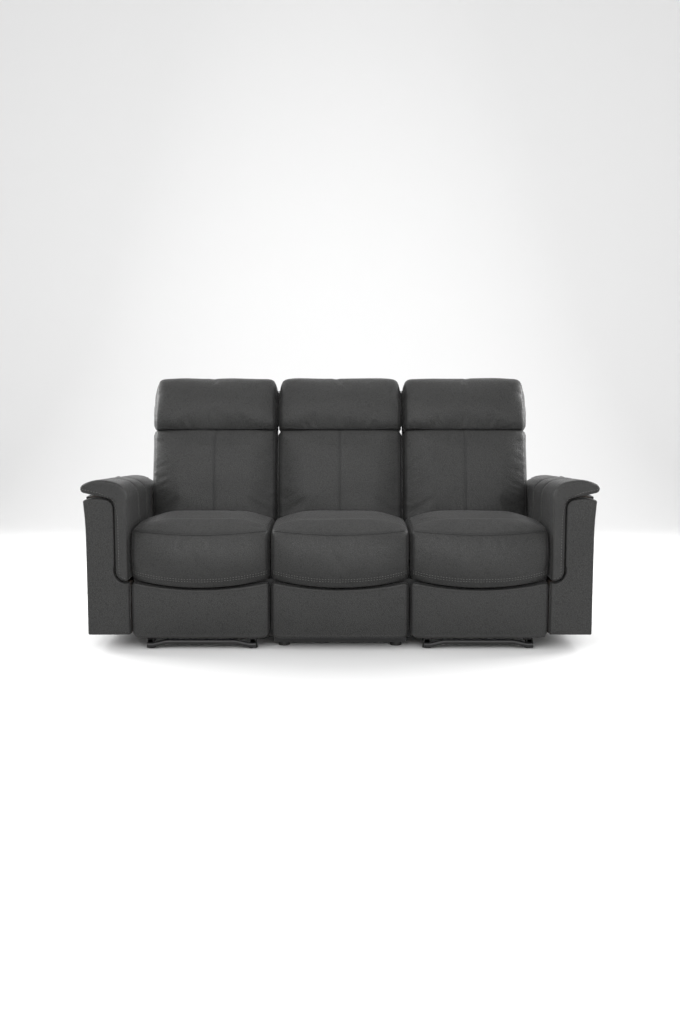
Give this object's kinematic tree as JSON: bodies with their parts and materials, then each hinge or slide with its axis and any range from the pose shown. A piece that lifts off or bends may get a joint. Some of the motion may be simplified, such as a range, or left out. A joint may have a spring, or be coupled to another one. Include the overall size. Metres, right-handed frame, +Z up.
{
  "type": "reclining sofa",
  "caption": "Motion sofa with reclining outer seats that glide forward on swing links, linkage-driven lifting footrests, a fixed middle seat and padded roll-over arms.",
  "frame": {"origin": "on the floor, at the middle of the sofa's box in plan", "axes": "+X along the sofa to the sitter's left, +Y from the front to the back, +Z up"},
  "size_m": [2.0014, 0.9399, 1.046],
  "materials": {
    "upholstery_leather": "charcoal grained upholstery leather with a soft sheen",
    "post_leather": "charcoal grained leather drawn tight over a board",
    "panel_leather": "charcoal grained cover on flat boards",
    "frame_wood": "plain plywood and pine boards",
    "black_steel": "black powder-coated steel",
    "spring_steel": "bare drawn spring wire",
    "black_plastic": "matt black moulded plastic"
  },
  "bodies": {
    "root": {"centre_base_box": "frame_wood", "centre_base_rails": "black_steel", "centre_front_pad": "upholstery_leather", "centre_seat_springs": "spring_steel", "centre_seat_cushion": "upholstery_leather", "centre_back_frame": "frame_wood", "centre_lumbar_cushion": "upholstery_leather", "centre_headrest": "upholstery_leather", "centre_back_cover": "panel_leather", "recliner_base_rails": "black_steel", "floor_glides": "black_plastic", "recliner_cross_bars": "black_steel", "arm_frames": "frame_wood", "arm_outer_panels": "panel_leather", "right_arm_post": "post_leather", "left_arm_post": "post_leather", "right_arm_pad": "upholstery_leather", "left_arm_pad": "upholstery_leather", "release_handle_bezels": "black_plastic", "tie_brackets": "black_steel"},
    "left_front_swing": {"left_front_swing_links": "black_steel"},
    "left_rear_swing": {"left_rear_swing_links": "black_steel"},
    "left_seat": {"left_side_plates": "black_steel", "left_seat_box": "frame_wood", "left_seat_springs": "spring_steel", "left_seat_cushion": "upholstery_leather"},
    "left_back": {"left_back_brackets": "black_steel", "left_back_frame": "frame_wood", "left_lumbar_cushion": "upholstery_leather", "left_headrest": "upholstery_leather", "left_back_cover": "panel_leather"},
    "left_front_link": {"left_footrest_front_links": "black_steel", "left_footrest_drive_tube": "black_steel"},
    "left_rear_link": {"left_footrest_rear_links": "black_steel"},
    "left_drive_link": {"left_footrest_drive_links": "black_steel"},
    "left_guide_link": {"left_footrest_guide_links": "black_steel"},
    "left_footrest": {"left_footrest_brackets": "black_steel", "left_footrest_board": "frame_wood", "left_footrest_pad": "upholstery_leather"},
    "left_handle": {"left_release_handle": "black_plastic"},
    "right_front_swing": {"right_front_swing_links": "black_steel"},
    "right_rear_swing": {"right_rear_swing_links": "black_steel"},
    "right_seat": {"right_side_plates": "black_steel", "right_seat_box": "frame_wood", "right_seat_springs": "spring_steel", "right_seat_cushion": "upholstery_leather"},
    "right_back": {"right_back_brackets": "black_steel", "right_back_frame": "frame_wood", "right_lumbar_cushion": "upholstery_leather", "right_headrest": "upholstery_leather", "right_back_cover": "panel_leather"},
    "right_front_link": {"right_footrest_front_links": "black_steel", "right_footrest_drive_tube": "black_steel"},
    "right_rear_link": {"right_footrest_rear_links": "black_steel"},
    "right_drive_link": {"right_footrest_drive_links": "black_steel"},
    "right_guide_link": {"right_footrest_guide_links": "black_steel"},
    "right_footrest": {"right_footrest_brackets": "black_steel", "right_footrest_board": "frame_wood", "right_footrest_pad": "upholstery_leather"},
    "right_handle": {"right_release_handle": "black_plastic"}
  },
  "joints": [
    {"name": "left_recline", "type": "hinge", "parent": "root", "child": "left_front_swing", "pos_m": [-0.545, -0.3, 0.095], "axis": [1, 0, 0], "range_deg": [0, 45]},
    {"name": "left_rear_swing_turn", "type": "hinge", "parent": "root", "child": "left_rear_swing", "pos_m": [-0.545, 0.01, 0.095], "axis": [1, 0, 0], "range_deg": [-1, 46]},
    {"name": "left_seat_glide", "type": "hinge", "parent": "left_front_swing", "child": "left_seat", "pos_m": [-0.545, -0.249, 0.204], "axis": [1, 0, 0], "range_deg": [-46, 1]},
    {"name": "left_back_tilt", "type": "hinge", "parent": "left_seat", "child": "left_back", "pos_m": [-0.545, 0.12, 0.31], "axis": [-1, 0, 0], "range_deg": [-1, 36]},
    {"name": "left_footrest_lift", "type": "hinge", "parent": "left_seat", "child": "left_front_link", "pos_m": [-0.545, -0.28, 0.309], "axis": [-1, 0, 0], "range_deg": [0, 91]},
    {"name": "left_rear_link_turn", "type": "hinge", "parent": "left_seat", "child": "left_rear_link", "pos_m": [-0.545, -0.22, 0.309], "axis": [-1, 0, 0], "range_deg": [-1, 92]},
    {"name": "left_drive_link_turn", "type": "hinge", "parent": "left_front_link", "child": "left_drive_link", "pos_m": [-0.545, -0.178, 0.081], "axis": [-1, 0, 0], "range_deg": [-92, 1]},
    {"name": "left_guide_link_turn", "type": "hinge", "parent": "left_front_link", "child": "left_guide_link", "pos_m": [-0.545, -0.178, 0.141], "axis": [-1, 0, 0], "range_deg": [-92, 1]},
    {"name": "left_footrest_turn", "type": "hinge", "parent": "left_drive_link", "child": "left_footrest", "pos_m": [-0.545, -0.366, 0.18], "axis": [-1, 0, 0], "range_deg": [-1, 92]},
    {"name": "left_handle_pull", "type": "hinge", "parent": "root", "child": "left_handle", "pos_m": [-0.979, -0.219, 0.43], "axis": [0, 0, 1], "range_deg": [0, 28], "stiffness_Nm_per_rad": 0.3, "springref_deg": -20.05},
    {"name": "right_recline", "type": "hinge", "parent": "root", "child": "right_front_swing", "pos_m": [0.545, -0.3, 0.095], "axis": [1, 0, 0], "range_deg": [0, 45]},
    {"name": "right_rear_swing_turn", "type": "hinge", "parent": "root", "child": "right_rear_swing", "pos_m": [0.545, 0.01, 0.095], "axis": [1, 0, 0], "range_deg": [-1, 46]},
    {"name": "right_seat_glide", "type": "hinge", "parent": "right_front_swing", "child": "right_seat", "pos_m": [0.545, -0.249, 0.204], "axis": [1, 0, 0], "range_deg": [-46, 1]},
    {"name": "right_back_tilt", "type": "hinge", "parent": "right_seat", "child": "right_back", "pos_m": [0.545, 0.12, 0.31], "axis": [-1, 0, 0], "range_deg": [-1, 36]},
    {"name": "right_footrest_lift", "type": "hinge", "parent": "right_seat", "child": "right_front_link", "pos_m": [0.545, -0.28, 0.309], "axis": [-1, 0, 0], "range_deg": [0, 91]},
    {"name": "right_rear_link_turn", "type": "hinge", "parent": "right_seat", "child": "right_rear_link", "pos_m": [0.545, -0.22, 0.309], "axis": [-1, 0, 0], "range_deg": [-1, 92]},
    {"name": "right_drive_link_turn", "type": "hinge", "parent": "right_front_link", "child": "right_drive_link", "pos_m": [0.545, -0.178, 0.081], "axis": [-1, 0, 0], "range_deg": [-92, 1]},
    {"name": "right_guide_link_turn", "type": "hinge", "parent": "right_front_link", "child": "right_guide_link", "pos_m": [0.545, -0.178, 0.141], "axis": [-1, 0, 0], "range_deg": [-92, 1]},
    {"name": "right_footrest_turn", "type": "hinge", "parent": "right_drive_link", "child": "right_footrest", "pos_m": [0.545, -0.366, 0.18], "axis": [-1, 0, 0], "range_deg": [-1, 92]},
    {"name": "right_handle_pull", "type": "hinge", "parent": "root", "child": "right_handle", "pos_m": [0.979, -0.219, 0.43], "axis": [0, 0, -1], "range_deg": [0, 28], "stiffness_Nm_per_rad": 0.3, "springref_deg": -20.05}
  ],
  "couplings": [
    {"joint": "left_rear_swing_turn", "follows": "left_recline", "ratio": 1},
    {"joint": "left_seat_glide", "follows": "left_recline", "ratio": -1},
    {"joint": "left_back_tilt", "follows": "left_recline", "ratio": 0.77778},
    {"joint": "left_rear_link_turn", "follows": "left_footrest_lift", "ratio": 1},
    {"joint": "left_drive_link_turn", "follows": "left_footrest_lift", "ratio": -1},
    {"joint": "left_guide_link_turn", "follows": "left_footrest_lift", "ratio": -1},
    {"joint": "left_footrest_turn", "follows": "left_footrest_lift", "ratio": 1},
    {"joint": "right_rear_swing_turn", "follows": "right_recline", "ratio": 1},
    {"joint": "right_seat_glide", "follows": "right_recline", "ratio": -1},
    {"joint": "right_back_tilt", "follows": "right_recline", "ratio": 0.77778},
    {"joint": "right_rear_link_turn", "follows": "right_footrest_lift", "ratio": 1},
    {"joint": "right_drive_link_turn", "follows": "right_footrest_lift", "ratio": -1},
    {"joint": "right_guide_link_turn", "follows": "right_footrest_lift", "ratio": -1},
    {"joint": "right_footrest_turn", "follows": "right_footrest_lift", "ratio": 1}
  ]
}
